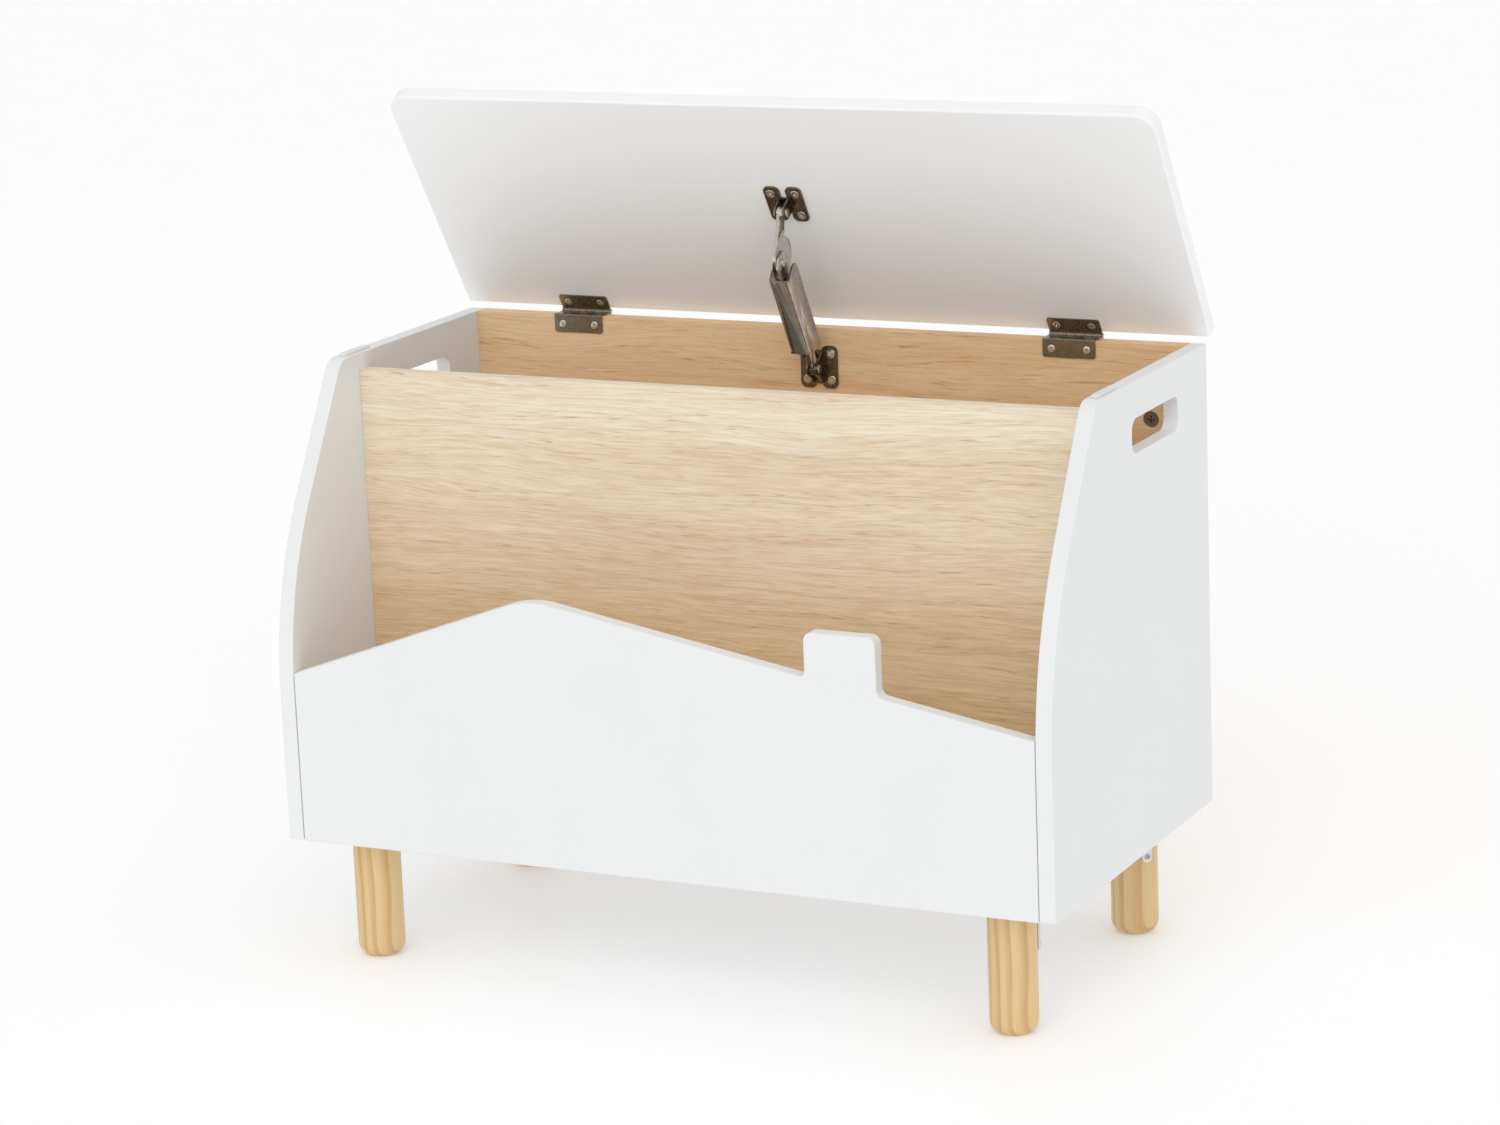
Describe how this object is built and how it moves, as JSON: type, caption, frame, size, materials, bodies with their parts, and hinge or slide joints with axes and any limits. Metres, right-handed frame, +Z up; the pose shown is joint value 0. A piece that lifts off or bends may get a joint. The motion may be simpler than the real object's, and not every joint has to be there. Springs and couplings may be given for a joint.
{
  "type": "toy box",
  "caption": "Toy box on turned legs with a flip-up lid on a sprung stay, hand holes, a divider and a house-shaped front panel that makes a book pocket.",
  "frame": {"origin": "centre of the bounding box at the floor, with the lid standing open", "axes": "+X to the right seen from the front, +Y from the front panel to the back panel, +Z up"},
  "size_m": [0.771, 0.4034, 0.7835],
  "materials": {
    "white_board": "white painted board, satin",
    "oak_board": "oak-look board with fine horizontal grain, satin",
    "pine": "clear lacquered pine with vertical grain",
    "zinc": "zinc plated",
    "white_plastic": "moulded, satin",
    "dark_nickel": "dark nickel plated, semi-bright",
    "bright_nickel": "nickel plated",
    "beech": "bare fluted dowel"
  },
  "bodies": {
    "carcass": {"left_side_panel": "white_board", "right_side_panel": "white_board", "front_panel": "white_board", "bottom_panel": "white_board", "back_panel": "oak_board", "divider_panel": "oak_board", "leg_front_left": "pine", "leg_front_right": "pine", "leg_rear_left": "pine", "leg_rear_right": "pine", "hanger_bolts": "zinc", "threaded_inserts": "zinc", "leg_bracket_screws": "zinc", "cam_locks_back": "zinc", "cam_locks_divider": "zinc", "cam_locks_bottom": "zinc", "cam_locks_front": "zinc", "cam_bolts_left": "zinc", "cam_bolts_right": "zinc", "leg_brackets": "white_plastic", "bumper_pad_left": "white_plastic", "bumper_pad_right": "white_plastic", "hinge_left_body_leaf": "dark_nickel", "hinge_right_body_leaf": "dark_nickel", "stay_lower_bracket": "dark_nickel", "hinge_left_pin": "bright_nickel", "hinge_right_pin": "bright_nickel", "hinge_body_screws": "bright_nickel", "stay_lower_pin": "bright_nickel", "stay_lower_screws": "bright_nickel", "dowels_left": "beech", "dowels_right": "beech"},
    "lid": {"lid": "white_board", "hinge_left_lid_leaf": "dark_nickel", "hinge_right_lid_leaf": "dark_nickel", "hinge_lid_screws": "bright_nickel", "stay_upper_bracket": "dark_nickel", "stay_upper_pin": "bright_nickel", "stay_upper_screws": "bright_nickel"},
    "stay_housing": {"stay_housing": "dark_nickel", "stay_spring": "bright_nickel", "stay_fork": "bright_nickel", "stay_knee_pin": "bright_nickel"},
    "stay_arm": {"stay_arm": "bright_nickel"}
  },
  "joints": [
    {"name": "lid_hinge", "type": "hinge", "parent": "carcass", "child": "lid", "pos_m": [0, 0.1896, 0.5514], "axis": [-1, 0, 0], "range_deg": [-58, 5]},
    {"name": "stay_housing_pivot", "type": "hinge", "parent": "carcass", "child": "stay_housing", "pos_m": [0, 0.1583, 0.513], "axis": [-1, 0, 0], "range_deg": [-70.6, 7]},
    {"name": "stay_arm_pivot", "type": "hinge", "parent": "lid", "child": "stay_arm", "pos_m": [0, 0.1016, 0.67034], "axis": [-1, 0, 0], "range_deg": [-6.8, 68.3]}
  ],
  "couplings": [
    {"joint": "stay_housing_pivot", "follows": "lid_hinge", "ratio": 1.2},
    {"joint": "stay_arm_pivot", "follows": "lid_hinge", "ratio": -1.16}
  ]
}
